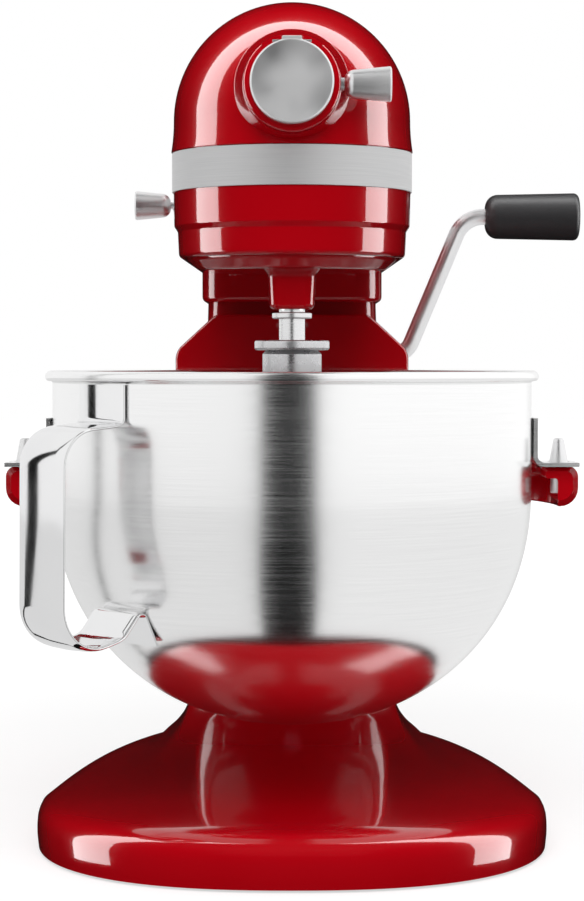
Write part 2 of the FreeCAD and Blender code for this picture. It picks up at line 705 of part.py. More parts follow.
def cord_inlet():
    ring = [(3.4, 0, 0.6), (7.4, 0, 1.0), (7.4, 2.2, 0.6), (5.0, 2.2, 0), (5.0, 9, 0), (3.4, 9, 0)]
    return turned(ring, V(0, 222.2, 277), V(0, -1, 0))


# Bowl lift


def support_arm():
    seat = [(122.0, SEAT_Z, 1.2), (140.2, SEAT_Z, 5.0), (140.2, 163.5, 9.0), (130.0, 163.5, 1.0)]
    seat += [(130.0, SEAT_Z - 5, 2.0), (122.0, SEAT_Z - 5, 1.2)]
    arm = turned(seat, angle=66)
    arm.rotate(V(0, 0, 0), V(0, 0, 1), -4)
    root = [(124.5, SEAT_Z, 1.0), (140.2, SEAT_Z, 5.0), (140.2, 152, 6.0), (124.5, 152, 2.0)]
    deep = turned(root, angle=22)
    deep.rotate(V(0, 0, 0), V(0, 0, 1), 46)
    return arm.fuse(deep)


def bowl_support():
    half = [(63.2, 150, 5), (63.2, 240, 10), (41.5, 260, 8)]
    outline = half + [(-x, z, r) for x, z, r in reversed(half)]
    plate = slab(outline, front(122.5), V(0, 14.5, 0))
    arm = support_arm()
    pin = V(0, PIVOT.y + CRANK_R / 2, PIVOT.z + LIFT_TRAVEL / 2)
    tongue_side = [(130, pin.z - 9, 0), (198, pin.z - 9, 4), (198, pin.z + 9, 4), (130, pin.z + 9, 0)]
    tongue = slab(tongue_side, side(-10), V(14, 0, 0))
    body = join(plate, arm, mirrored(arm), tongue)
    near, far = pin.y - 5.6, pin.y + 13.7
    low, high = pin.z - 5.6, pin.z + 5.6
    track_side = [(near, low, 5.5), (far, low, 5.5), (far, high, 5.5), (near, high, 5.5)]
    track = slab(track_side, side(-12), V(20, 0, 0))
    latch_plan = [(-6.2, 162, 2), (6.2, 162, 2), (6.2, 198, 4), (-6.2, 198, 4)]
    latch_room = slab(latch_plan, front(120), V(0, 13, 0))
    bowl_room = rod(121.8, V(0, 0, 140), V(0, 0, 270))
    body = body.cut([track, latch_room, bowl_room])
    for x in (-PIN_X, PIN_X):
        body = body.cut(rod(4.0, V(x, 0, 160), V(x, 0, 190)))
    return body


def locating_pins():
    top = SEAT_Z + 13.6
    profile = [(0, 170, 0), (4.0, 170, 0.5), (4.0, SEAT_Z, 0), (4.6, SEAT_Z, 0), (4.6, SEAT_Z + 2.2, 0)]
    profile += [(2.5, top, 1.6), (0, top, 0)]
    return [turned(profile, V(x, 0, 0)) for x in (-PIN_X, PIN_X)]


def latch_spring():
    path = [(-5.6, 184.5, 0), (-4.8, 180, 2.5), (-4.8, 166.5, 4.2)]
    path += [(-x, z, r) for x, z, r in reversed(path)]
    return slab(ribbon(path, 0.9), front(124.5), V(0, 8.5, 0))


def lift_rod():
    corners = [(PIVOT.x + 6, PIVOT.z, 0), (64, PIVOT.z, 12), (96.4, GRIP_Z, 16), (152, GRIP_Z, 0)]
    spine = rounded(corners, front(PIVOT.y), closed=False)
    circle = Part.Wire(Part.makeCircle(ROD_R, V(PIVOT.x + 6, PIVOT.y, PIVOT.z), V(1, 0, 0)))
    return spine.makePipeShell([circle], True, False)


def lift_crank():
    turn = math.radians(60)
    pin = V(0, PIVOT.y + CRANK_R * math.cos(turn), PIVOT.z + CRANK_R * math.sin(turn))
    arm = rod(8.5, V(6, PIVOT.y, PIVOT.z), V(12, PIVOT.y, PIVOT.z))
    arm = arm.fuse(rod(6.5, V(6, pin.y, pin.z), V(12, pin.y, pin.z)))
    web = box(6, 12, -6.5, 6.5, 0, CRANK_R)
    web.rotate(V(0, 0, 0), V(1, 0, 0), -30)
    web.translate(V(0, PIVOT.y, PIVOT.z))
    arm = join(arm, web, rod(4.0, V(-9.5, pin.y, pin.z), V(8, pin.y, pin.z)))
    return arm.cut(rod(ROD_R, V(0, PIVOT.y, PIVOT.z), V(20, PIVOT.y, PIVOT.z)))


def lever_bush():
    return tube(7.5, ROD_R + 0.05, V(40.5, PIVOT.y, PIVOT.z), V(51, PIVOT.y, PIVOT.z))


def lift_grip():
    length = GRIP_X[1] - GRIP_X[0]
    profile = [(0, 0, 0), (12.2, 0, 7.0), (13.25, length, 3.0), (0, length, 0)]
    grip = turned(profile, V(GRIP_X[0], PIVOT.y, GRIP_Z), V(1, 0, 0))
    return grip.cut(rod(ROD_R, V(100, PIVOT.y, GRIP_Z), V(152, PIVOT.y, GRIP_Z)))


# Bowl


def bowl_curve(inset, count=12):
    """Rounded lower half of the bowl, from the bottom centre out to the upright wall."""
    points = []
    for i in range(count + 1):
        t = math.pi / 2 * (1 - i / count)
        r = (BOWL_R - inset) * math.cos(t) ** (2 / BOWL_POWER) if i else 0
        fall = (BOWL_ROUND_Z - BOWL_LOW_Z - inset) * math.sin(t) ** (2 / BOWL_POWER)
        points.append(V(r, 0, BOWL_ROUND_Z - fall))
    curve = Part.BSplineCurve()
    curve.interpolate(points, InitialTangent=V(1, 0, 0), FinalTangent=V(0, 0, 1))
    return curve.toShape()


def bowl():
    r = BOWL_R
    s = BOWL_SHEET
    outer = bowl_curve(0)
    inner = bowl_curve(s)
    rim = [(r, BOWL_RIM_Z - 4.9, 0), (r + 3.4, BOWL_RIM_Z - 4.9, 1.8), (r + 3.4, BOWL_RIM_Z, 2.4)]
    rim += [(r - s, BOWL_RIM_Z, 2.4), (r - s, BOWL_RIM_Z - 5, 0)]
    lip = rounded(rim, front(0), closed=False)
    edges = [outer, Part.makeLine(V(r, 0, BOWL_ROUND_Z), V(r, 0, BOWL_RIM_Z - 4.9))] + lip.Edges
    edges += [Part.makeLine(V(r - s, 0, BOWL_RIM_Z - 5), V(r - s, 0, BOWL_ROUND_Z)), inner]
    edges += [Part.makeLine(V(0, 0, BOWL_LOW_Z + s), V(0, 0, BOWL_LOW_Z))]
    return Part.Face(Part.Wire(Part.__sortEdges__(edges))).revolve(V(0, 0, 0), V(0, 0, 1), 360)


HANDLE_TURN = math.radians(42)
HANDLE_WIDE = 34.0


def handle_place(u, v):
    return V(-u * math.cos(HANDLE_TURN), -u * math.sin(HANDLE_TURN), v)


def bowl_handle():
    across = V(math.sin(HANDLE_TURN), -math.cos(HANDLE_TURN), 0)
    path = [(118.6, 224, 0), (118.6, 205.5, 5), (150.6, 202.5, 15), (151.5, 99.5, 16)]
    path += [(119.0, 108.0, 12), (107.5, 121.5, 3), (99.5, 104, 0)]
    strap = slab(ribbon(path, 2.2), handle_place, across * HANDLE_WIDE)
    strap.translate(across * (-HANDLE_WIDE / 2))
    gap = 0.05
    top = Part.makeLine(V(BOWL_R + gap, 0, BOWL_ROUND_Z), V(0, 0, BOWL_ROUND_Z))
    middle = Part.makeLine(V(0, 0, BOWL_ROUND_Z), V(0, 0, BOWL_LOW_Z - gap))
    half = Part.Face(Part.Wire([bowl_curve(-gap), top, middle]))
    round_part = half.revolve(V(0, 0, 0), V(0, 0, 1), 360)
    upright = rod(BOWL_R + gap, V(0, 0, BOWL_ROUND_Z), V(0, 0, 224))
    return strap.cut(upright.fuse(round_part))


def bowl_bracket():
    path = [(118.2, 207, 0), (118.2, SEAT_Z + 1, 4.5), (139.5, SEAT_Z + 1, 0)]
    strip = slab(ribbon(path, 2.0), front(-15), V(0, 30, 0))
    return strip.cut(rod(5.2, V(PIN_X, 0, 170), V(PIN_X, 0, 200)))


def bowl_stud():
    return turned([(0, 0, 0), (3.9, 0, 0), (3.9, 14.5, 1.0), (0, 14.5, 0)], V(0, BOWL_R, 173), V(0, 1, 0))


write("base_casting", base_casting())
write("rubber_feet", *rubber_feet())
write("column_bolts", *column_bolts())
write("column_casting", column_casting())
write("head_upper_housing", head_upper_housing())
write("head_lower_housing", head_lower_housing())
write("rear_end_cover", rear_end_cover())
write("trim_band", trim_band())
write("band_screw", band_screw())
write("hub_boss", hub_boss())
write("hub_cover", hub_cover())
write("hub_pin", hub_pin())
write("attachment_knob", attachment_knob())
write("speed_knob", speed_knob())
write("speed_stem", speed_stem())
write("speed_slider", speed_slider())
write("centre_gear", centre_gear())
write("miter_gear", miter_gear())
write("hub_gear", hub_gear())
write("hub_socket", hub_socket())
write("hub_bush", hub_bush())
write("second_gear", second_gear())
write("second_pinion", second_pinion())
write("second_shaft", second_shaft())
write("second_bush", second_bush())
write("motor_pinion", motor_pinion())
write("centre_shaft", centre_shaft())
write("centre_bush", centre_bush())
write("ring_gear", ring_gear())
write("planet_pinion", planet_pinion())
write("planetary_housing", planetary_housing())
write("nose_bush", nose_bush())
write("nose_washer", nose_washer())
write("beater_shaft", beater_shaft())
write("cross_pin", cross_pin())
write("dough_hook", dough_hook())
write("motor_shaft", motor_shaft())
write("rotor", rotor())
write("stator", stator())
write("windings", *windings())
write("motor_bearings", *motor_bearings())
write("motor_brackets", *motor_brackets())
write("control_board", control_board())
write("cord_inlet", cord_inlet())
write("bowl_support", bowl_support())
write("locating_pins", *locating_pins())
write("latch_spring", latch_spring())
write("lift_rod", lift_rod())
write("lift_crank", lift_crank())
write("lever_bush", lever_bush())
write("lift_grip", lift_grip())
write("bowl", bowl())
write("bowl_handle", bowl_handle())
write("bowl_brackets", bowl_bracket(), mirrored(bowl_bracket()))
write("bowl_stud", bowl_stud())
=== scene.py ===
# %% [markdown]
# # A bowl-lift stand mixer, dressed for its portrait
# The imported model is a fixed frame: every piece is already at its real size and place, in metres.
# This lesson gives the pieces that the eye rests on a smooth skin of their own, and every piece a
# finish. Nothing is moved: a skin is drawn about the same mixing axis as the piece that it stands for.

# %% Load the frame
import json
import math

import bmesh
import bpy
import numpy as np
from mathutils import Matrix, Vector


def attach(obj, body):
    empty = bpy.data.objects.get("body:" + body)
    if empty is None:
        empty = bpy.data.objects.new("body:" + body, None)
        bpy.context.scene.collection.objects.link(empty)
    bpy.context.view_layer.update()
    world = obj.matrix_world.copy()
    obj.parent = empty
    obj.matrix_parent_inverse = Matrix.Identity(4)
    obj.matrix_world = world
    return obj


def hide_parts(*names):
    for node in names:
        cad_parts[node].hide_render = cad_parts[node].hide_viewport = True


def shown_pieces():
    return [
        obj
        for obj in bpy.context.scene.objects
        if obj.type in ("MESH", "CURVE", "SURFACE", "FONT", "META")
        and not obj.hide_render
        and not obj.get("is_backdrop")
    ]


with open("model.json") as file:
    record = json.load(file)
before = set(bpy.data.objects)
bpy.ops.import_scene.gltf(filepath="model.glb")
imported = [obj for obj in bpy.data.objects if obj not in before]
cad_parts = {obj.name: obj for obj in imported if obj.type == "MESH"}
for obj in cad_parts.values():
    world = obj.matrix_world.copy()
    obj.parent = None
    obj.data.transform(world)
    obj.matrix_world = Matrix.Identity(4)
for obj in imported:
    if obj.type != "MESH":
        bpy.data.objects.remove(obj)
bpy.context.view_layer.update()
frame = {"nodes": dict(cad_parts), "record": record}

MM = 0.001
record = frame["record"]
joint_named = {joint["name"]: joint for joint in record["behaviour"]["joints"]}
axis_x, axis_y, _ = joint_named["planetary_spin"]["pos_m"]
slot_of = {part["node"]: part["material_slot"] for part in record["subparts"]}
body_of = {node: body for body, nodes in record["behaviour"]["bodies"].items() for node in nodes}

# %% [markdown]
# ## Colour and nodes
# Colours are written as the sRGB hex values that a paint chart would give, and one function turns
# them to the linear light that the shader works in. A second one adds a node with its settings,
# its fixed values and its links, so that each finish reads as a short list.


# %% Two helpers for every finish
def linear(code):
    channels = [int(code[i:i + 2], 16) / 255 for i in (1, 3, 5)]
    return tuple(c / 12.92 if c <= 0.04045 else ((c + 0.055) / 1.055) ** 2.4 for c in channels) + (1.0,)


def add(tree, kind, settings={}, values={}, links={}):
    node = tree.nodes.new(kind)
    for name, value in settings.items():
        setattr(node, name, value)
    for key, value in values.items():
        node.inputs[key].default_value = value
    for key, source in links.items():
        tree.links.new(source, node.inputs[key])
    return node


def blank(name, **values):
    """A material with its shader, and the values that are the same all over the surface."""
    material = bpy.data.materials.new(name)
    material.use_nodes = True
    tree = material.node_tree
    shader = tree.nodes["Principled BSDF"]
    for key, value in values.items():
        shader.inputs[key.replace("_", " ")].default_value = value
    return material, tree, shader


def grain(tree, size_mm, detail=2.0):
    """Noise whose grains measure size_mm along x, y and z on the object."""
    space = add(tree, "ShaderNodeTexCoord")
    scaled = add(tree, "ShaderNodeMapping", values={"Scale": [1 / (s * MM) for s in size_mm]},
                 links={"Vector": space.outputs["Object"]})
    noise = add(tree, "ShaderNodeTexNoise", values={"Scale": 1.0, "Detail": detail},
                links={"Vector": scaled.outputs["Vector"]})
    return noise.outputs["Fac"]


def dress(tree, shader, fac, colours, rough, fine, depth_mm, normal="Normal"):
    """Colour and roughness that follow one grain, and a relief that follows a finer one."""
    mix = add(tree, "ShaderNodeMix", {"data_type": "RGBA"},
              {"A": linear(colours[0]), "B": linear(colours[1])}, {"Factor": fac})
    span = add(tree, "ShaderNodeMapRange", values={"From Min": 0.3, "From Max": 0.7, "To Min": rough[0],
                                                   "To Max": rough[1]}, links={"Value": fac})
    bump = add(tree, "ShaderNodeBump", values={"Strength": 0.5, "Distance": depth_mm * MM},
               links={"Height": fine})
    tree.links.new(mix.outputs["Result"], shader.inputs["Base Color"])
    tree.links.new(span.outputs["Result"], shader.inputs["Roughness"])
    tree.links.new(bump.outputs["Normal"], shader.inputs[normal])


print("helpers ready")

# %% [markdown]
# ## Finishes
# Each finish starts from what the real surface is. Fired enamel on a casting is a deep colour under
# a glassy coat with a faint orange peel. Brushed metal is fine scratches that all run one way, so
# its gloss is drawn out across them. Chrome is bright with a few smudges. Cast aluminium, rubber and
# moulded plastic scatter light by their grain. Scratches finer than a pixel are drawn coarser, about
# 0.4 mm apart, so that they show.


# %% Red enamel, fired on a casting
def red_enamel():
    material, tree, shader = blank("red_enamel_fired", Specular_IOR_Level=0.1, Coat_Weight=1.0,
                                   Coat_Roughness=0.03)
    cloud = grain(tree, (60, 60, 60))
    peel = grain(tree, (2.2, 2.2, 2.2))
    dress(tree, shader, cloud, ("#B2000D", "#C00012"), (0.16, 0.24), peel, 0.004, "Coat Normal")
    return material


# %% Brushed metals: the band, the bowl, the turned shafts
def brushed(name, colours, grain_mm, rough, anisotropic, around=True, depth_mm=0.012):
    """Fine scratches; grain_mm is their length and spacing along x, y and z."""
    material, tree, shader = blank(name, Metallic=1.0, Anisotropic=anisotropic)
    scratches = grain(tree, grain_mm, 3.0)
    dress(tree, shader, scratches, colours, (rough - 0.04, rough + 0.04), scratches, depth_mm)
    if around:
        turn = add(tree, "ShaderNodeTangent", {"direction_type": "RADIAL", "axis": "Z"})
        tree.links.new(turn.outputs["Tangent"], shader.inputs["Tangent"])
    return material


# %% Bright and cast metals
def polished(name, colours, rough, haze_mm=30, depth_mm=0.002):
    """Plated, polished or burnished metal with a slow haze of handling."""
    material, tree, shader = blank(name, Metallic=1.0)
    haze = grain(tree, [haze_mm] * 3)
    fine = grain(tree, [haze_mm / 25] * 3)
    dress(tree, shader, haze, colours, (rough * 0.7, rough * 1.3), fine, depth_mm)
    return material


# %% Plastics, rubber and the board
def moulded(name, colours, rough, grain_mm, depth_mm):
    """Moulded or rubbery surface with a fine even grain."""
    material, tree, shader = blank(name, IOR=1.5)
    fine = grain(tree, [grain_mm] * 3, 4.0)
    dress(tree, shader, fine, colours, (rough - 0.06, rough + 0.06), fine, depth_mm)
    return material


# %% Every finish on its pieces
finish_of = {
    "red_enamel": red_enamel(),
    "brushed_band": brushed("aluminium_brushed_lengthwise", ("#C2C2C3", "#DCDCDC"),
                            (30, 30, 0.4), 0.56, 0.3),
    "bright_metal": polished("chrome_satin_plated", ("#E6E6E7", "#F2F2F2"), 0.42),
    "brushed_bowl": brushed("stainless_steel_brushed_around", ("#ECECEC", "#FAFAFA"),
                            (45, 45, 0.45), 0.19, 0.4),
    "polished_strap": polished("stainless_steel_polished", ("#E6E6E7", "#F0F0F0"), 0.07),
    "black_grip": moulded("nylon_moulded_satin", ("#2A2A2B", "#38383A"), 0.45, 0.8, 0.03),
    "black_rubber": moulded("rubber_moulded_matt", ("#121212", "#202020"), 0.75, 0.6, 0.04),
    "machined_steel": brushed("steel_turned", ("#DADADB", "#EEEEEE"), (12, 12, 0.5), 0.28, 0.3),
    "gear_steel": polished("steel_hobbed", ("#7A7A7E", "#9A9A9E"), 0.35, 6, 0.01),
    "cast_aluminium": polished("aluminium_cast_burnished", ("#C4C4C6", "#DEDEDF"), 0.3, 5, 0.03),
    "bronze_bush": polished("bronze_sintered", ("#9C7636", "#BD934E"), 0.4, 3, 0.01),
    "copper_wire": brushed("copper_wire_lacquered", ("#94451E", "#C86E38"),
                           (0.9, 30, 0.9), 0.3, 0.3, False),
    "core_steel": brushed("steel_sheets_stacked", ("#38383C", "#5E5E63"),
                          (30, 0.7, 30), 0.45, 0.2, False),
    "circuit_board": moulded("board_lacquered", ("#0C381B", "#1E5F34"), 0.35, 2.0, 0.02),
}
for node, piece in frame["nodes"].items():
    for entry in piece.material_slots:
        entry.material = finish_of[slot_of[node]]
print("finishes:", len(finish_of))

# %% [markdown]
# ## Drawing a skin
# A casting or a spinning is a section that travels: round an axis, along a path, or from one outline
# to the next. All three are grids of points, so one function turns rows of points to faces. Sizes
# are in millimetres about the mixing axis; `make` moves them to the shared frame, rides the skin on
# the body of the node that it stands for, and hides that node.


# %% Grids, corners and pieces
def grid(rows, around=True, caps=(False, False)):
    count = len(rows[0])
    points = [tuple(p) for row in rows for p in row]
    faces = []
    for i in range(len(rows) - 1):
        for j in range(count if around else count - 1):
            k = (j + 1) % count
            faces.append((i * count + j, i * count + k, (i + 1) * count + k, (i + 1) * count + j))
    if caps[0]:
        faces.append(tuple(range(count - 1, -1, -1)))
    if caps[1]:
        last = (len(rows) - 1) * count
        faces.append(tuple(range(last, last + count)))
    return points, faces


def soften(corners, closed=True, steps=6):
    """Points through (u, v, radius) corners, with each corner drawn as an arc."""
    points = []
    count = len(corners)
    for i, (u, v, r) in enumerate(corners):
        here = Vector((u, v))
        if r <= 0 or (not closed and i in (0, count - 1)):
            points.append(here)
            continue
        a = (Vector(corners[i - 1][:2]) - here).normalized()
        b = (Vector(corners[(i + 1) % count][:2]) - here).normalized()
        half = a.angle(b) / 2
        centre = here + (a + b).normalized() * (r / math.sin(half))
        start = here + a * (r / math.tan(half)) - centre
        end = here + b * (r / math.tan(half)) - centre
        turn = math.pi - 2 * half
        for k in range(steps + 1):
            f = k / steps
            bend = start * math.sin((1 - f) * turn) + end * math.sin(f * turn)
            points.append(centre + bend / math.sin(turn))
    return points


def solid(name, shapes):
    """One object from several shapes, moved from millimetres about the mixing axis to the frame."""
    builder = bmesh.new()
    for points, faces in shapes:
        corners = [builder.verts.new((axis_x + x * MM, axis_y + y * MM, z * MM)) for x, y, z in points]
        for face in faces:
            builder.faces.new([corners[i] for i in face])
    bmesh.ops.remove_doubles(builder, verts=builder.verts, dist=1e-6)
    bmesh.ops.recalc_face_normals(builder, faces=builder.faces)
    mesh = bpy.data.meshes.new(name)
    builder.to_mesh(mesh)
    builder.free()
    piece = bpy.data.objects.new(name, mesh)
    bpy.context.scene.collection.objects.link(piece)
    return piece


def carved(shape, *cuts):
    """A shape with other shapes cut out of it, one after the other."""
    piece = solid("carved", [shape])
    for cut in cuts:
        cutter = solid("cutter", [cut])
        knife = piece.modifiers.new("knife", "BOOLEAN")
        knife.object = cutter
        bpy.context.view_layer.update()
        cut_piece = piece.evaluated_get(bpy.context.evaluated_depsgraph_get())
        piece.data = bpy.data.meshes.new_from_object(cut_piece)
        piece.modifiers.clear()
        bpy.data.objects.remove(cutter)
    points = [((v.co.x - axis_x) / MM, (v.co.y - axis_y) / MM, v.co.z / MM)
              for v in piece.data.vertices]
    faces = [tuple(face.vertices) for face in piece.data.polygons]
    bpy.data.objects.remove(piece)
    return points, faces


def make(node, *shapes, crease=32):
    """A skin that stands for the node, rides on its body and is finished as its slot says."""
    piece = solid(node + "_skin", shapes)
    mesh = piece.data
    mesh.shade_smooth()
    mesh.set_sharp_from_angle(angle=math.radians(crease))
    mesh.materials.append(finish_of[slot_of[node]])
    shading = piece.modifiers.new("even_shading", "WEIGHTED_NORMAL")
    shading.keep_sharp = True
    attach(piece, body_of[node])
    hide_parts(node)
    print(piece.name, len(mesh.polygons), "faces")
    return piece


def turned(corners, at=(0, 0, 0), way=(0, 0, 1), closed=False, around=96, steps=6, arc=(0, 360)):
    """Section of (radius, height, corner radius) turned about the line from a point along a direction."""
    upright = Vector((0, 0, 1)).rotation_difference(Vector(way))
    whole = arc[1] - arc[0] >= 360
    count = around if whole else around + 1
    turns = [math.radians(arc[0] + (arc[1] - arc[0]) * j / around) for j in range(count)]
    rows = []
    for r, h in soften(corners, closed, steps):
        ring = [Vector((r * math.cos(t), r * math.sin(t), h)) for t in turns]
        rows.append([upright @ p + Vector(at) for p in ring])
    if closed:
        rows.append(rows[0])
    points, faces = grid(rows, around=whole)
    if not whole:
        ends = [i * count for i in range(len(rows) - 1)]
        faces += [tuple(ends), tuple(i + count - 1 for i in reversed(ends))]
    return points, faces


def smooth_rows(rows, steps=4):
    """More rows between the given ones, on smooth curves through them."""
    rows = [np.array(r, float) for r in rows]
    result = []
    for i in range(len(rows) - 1):
        p0 = rows[i - 1] if i else 2 * rows[0] - rows[1]
        p1, p2 = rows[i], rows[i + 1]
        p3 = rows[i + 2] if i + 2 < len(rows) else 2 * rows[-1] - rows[-2]
        for k in range(steps):
            f = k / steps
            result.append(0.5 * (2 * p1 + (p2 - p0) * f + (2 * p0 - 5 * p1 + 4 * p2 - p3) * f ** 2
                                 + (3 * p1 - p0 - 3 * p2 + p3) * f ** 3))
    return result + [rows[-1]]


def swept(path, section, flat=None):
    """Section of (side, out) points carried along a path; flat keeps its side direction fixed."""
    path = [Vector(p) for p in path]
    rows = []
    side = Vector(flat) if flat else None
    for i, p in enumerate(path):
        ahead = (path[min(i + 1, len(path) - 1)] - path[max(i - 1, 0)]).normalized()
        if not flat:
            side = (side or ahead.orthogonal()).normalized()
            side = (side - ahead * side.dot(ahead)).normalized()
        out = ahead.cross(side)
        rows.append([p + side * s + out * t for s, t in section])
    return grid(rows, caps=(True, True))


def circle(radius, count=24):
    return [(radius * math.cos(2 * math.pi * j / count), radius * math.sin(2 * math.pi * j / count))
            for j in range(count)]


def inset(corners, d):
    moved = []
    for i, (u, v, r) in enumerate(corners):
        here = Vector((u, v))
        a = (Vector(corners[i - 1][:2]) - here).normalized()
        b = (Vector(corners[(i + 1) % len(corners)][:2]) - here).normalized()
        spot = here + (a + b).normalized() * (d / math.sin(a.angle(b) / 2))
        moved.append((spot.x, spot.y, max(r - d, 0.05)))
    return moved


def slab(corners, lift, low, high, low_edge, high_edge, steps=5):
    """Plate with rounded edges; lift turns (u, v, w) into a point, and w runs from low to high."""
    levels = []
    for k in range(steps + 1):
        t = math.pi / 2 * k / steps
        levels.append((low_edge * (1 - math.sin(t)), low + low_edge * (1 - math.cos(t))))
    for k in range(steps + 1):
        t = math.pi / 2 * (1 - k / steps)
        levels.append((high_edge * (1 - math.sin(t)), high - high_edge * (1 - math.cos(t))))
    rows = [[lift(p.x, p.y, w) for p in soften(inset(corners, d))] for d, w in levels]
    return grid(rows, caps=(True, True))


print("drawing tools ready")

# %% [markdown]
# ## The stand
# The base is one casting that flows from a broad egg-shaped foot into the column. It could be
# sculpted, but its outline in plan is the same kind of curve at every height, so it is a loft: each
# row is an egg with its own width, ends and squareness, and smooth rows are filled in between. The
# casting is hollow below, with a pad for each rubber foot. The column's window is cut out of it.


# %% Base, column and feet
FOOT_LIFT = 1.2
COLUMN_TOP = 266.8


def egg(z, half, near, far, widest, near_power, far_power, taper=0, count=120):
    ring = []
    for i in range(count):
        t = 2 * math.pi * i / count
        c, s = math.cos(t), math.sin(t)
        power = far_power if s > 0 else near_power
        reach = far - widest if s > 0 else widest - near
        run = reach * math.copysign(abs(s) ** (2 / power), s)
        x = half * math.copysign(abs(c) ** (2 / power), c) * (1 - taper * max(0, run))
        ring.append((x, widest + run, z))
    return ring


base_sections = [
    (FOOT_LIFT, 123.6, -125.6, 215.4, 0, 2.4, 3.2, 0.00105),
    (8.0, 124.2, -126.2, 216.4, 0, 2.4, 3.2, 0.00105),
    (15.5, 123.8, -125.8, 216.2, 0, 2.4, 3.2, 0.00105),
    (20.0, 121.6, -123.6, 215.9, 0, 2.4, 3.2, 0.00105),
    (22.8, 117.2, -119.4, 215.6, 0, 2.4, 3.2, 0.00105),
    (24.6, 109.5, -111.0, 215.2, 3, 2.4, 3.2, 0.00105),
    (25.6, 98.0, -92.0, 215.0, 12, 2.4, 3.2, 0.0010),
    (26.2, 86.0, -62.0, 214.8, 40, 2.4, 3.3, 0.0007),
    (27.0, 77.5, -18.0, 214.6, 80, 2.8, 3.5, 0.0004),
    (28.8, 71.0, 38.0, 214.4, 115, 4.0, 3.7, 0),
    (32.5, 65.0, 84.0, 214.2, 142, 5.6, 3.9, 0),
    (39.0, 60.0, 112.0, 214.1, 156, 7.5, 4.1, 0),
    (50.0, 56.5, 127.0, 214.0, 166, 8.5, 4.3, 0),
    (70.0, 54.0, 135.0, 214.0, 173, 8.0, 4.6, 0),
    (96.0, 52.5, 137.0, 214.0, 176, 8.0, 4.8, 0),
]
FOOT_R = 11.0
FOOT_TOP = 5
SEAT_R = FOOT_R + 0.1
PAD_R = FOOT_R + 3
PAD_TOP = 14
foot_spots = [(0, -104), (-88, -52), (88, -52), (-62, 176), (62, 176)]
pad = [(0, FOOT_TOP, 0), (SEAT_R, FOOT_TOP, 0), (SEAT_R, FOOT_LIFT, 0), (PAD_R, FOOT_LIFT, 0),
       (PAD_R, PAD_TOP, 0), (0, PAD_TOP, 0)]
pads = [turned(pad, (x, y, 0), around=48) for x, y in foot_spots]
WALL = 6.5
TOP_WALL = 5.5
inner = [egg(max(z - TOP_WALL, FOOT_LIFT), half - WALL, near + WALL, far - WALL, *rest)
         for z, half, near, far, *rest in base_sections]
outer = [egg(*s) for s in base_sections]
make("base_casting", grid(smooth_rows(inner, 5)[::-1] + smooth_rows(outer, 5), caps=(True, True)), *pads)
column_sections = [base_sections[-1], (150.0, 50.0, 138.4, 214.0, 176, 7.5, 5.2, 0),
                   (COLUMN_TOP, 46.6, 139.0, 214.0, 176, 6.5, 5.6, 0)]
window = [(-13, 210, 4), (7, 210, 4), (7, 262, 4), (-13, 262, 4)]
make("column_casting", carved(grid(smooth_rows([egg(*s) for s in column_sections], 8), caps=(True, True)),
                              slab(window, lambda u, v, w: (u, w, v), 130, 204, 0.1, 0.1, 1)))
foot = [(0, 0, 0), (FOOT_R - 0.2, 0, 1.2), (FOOT_R, FOOT_TOP, 0), (0, FOOT_TOP, 0)]
make("rubber_feet", *[turned(foot, (x, y, 0), around=48) for x, y in foot_spots])

# %% [markdown]
# ## The head
# From above the head is a half round nose with straight sides that draw in a little to the rear.
# The dome keeps that plan at every height while its width follows an arch, so the nose is a quarter
# of a ball. One plan function and a list of widths and heights draw both housings without a seam in
# the gloss, which joining a ball to a barrel would leave.


# %% Dome and lower housing
HEAD_REAR = 190.0
TAPER = 3.0
HEAD_SIDE = 58.0
ARCH_R = 57.7
ARCH_Z = 351.3
SEAM_Z = 322.0
BAND_LOW, BAND_HIGH = 316.7, 335.7


def head_loop(front, rear, nose_steps=72, side_steps=14, rear_steps=16):
    """Outline in plan: left side, round nose, right side, then across the rear; ends are (x, z)."""
    left = []
    for k in range(side_steps):
        f = 1 - k / side_steps
        left.append((-front[0] + (front[0] - rear[0]) * f, HEAD_REAR * f,
                     front[1] + (rear[1] - front[1]) * f))
    nose = []
    for k in range(nose_steps + 1):
        t = math.pi * (1 + k / nose_steps)
        nose.append((front[0] * math.cos(t), front[0] * math.sin(t), front[1]))
    back = [(rear[0] * (1 - 2 * k / rear_steps), HEAD_REAR, rear[1]) for k in range(1, rear_steps)]
    return left + nose + [(-x, y, z) for x, y, z in reversed(left)] + back


def dome_rows():
    lip = BAND_HIGH + 0.2
    sides = [(HEAD_SIDE, SEAM_Z), (HEAD_SIDE, lip), (HEAD_SIDE + 0.6, lip),
             (HEAD_SIDE + 0.85, lip + 0.3)]
    sides += [(HEAD_SIDE + 0.9 - 1.2 * (1 - (1 - f) ** 2), lip + 0.8 + (ARCH_Z - lip - 0.8) * f)
              for f in (0, 0.2, 0.4, 0.6, 0.8)]
    rows = [head_loop((x, z), (x - TAPER, z)) for x, z in sides]
    for k in range(33):
        t = math.pi / 2 * k / 32
        c, s = math.cos(t), math.sin(t)
        r = ARCH_R - TAPER
        rows.append(head_loop((ARCH_R * c, ARCH_Z + ARCH_R * s), (r * c, ARCH_Z + r * s)))
    return rows


make("head_upper_housing", grid(dome_rows(), caps=(True, False)))

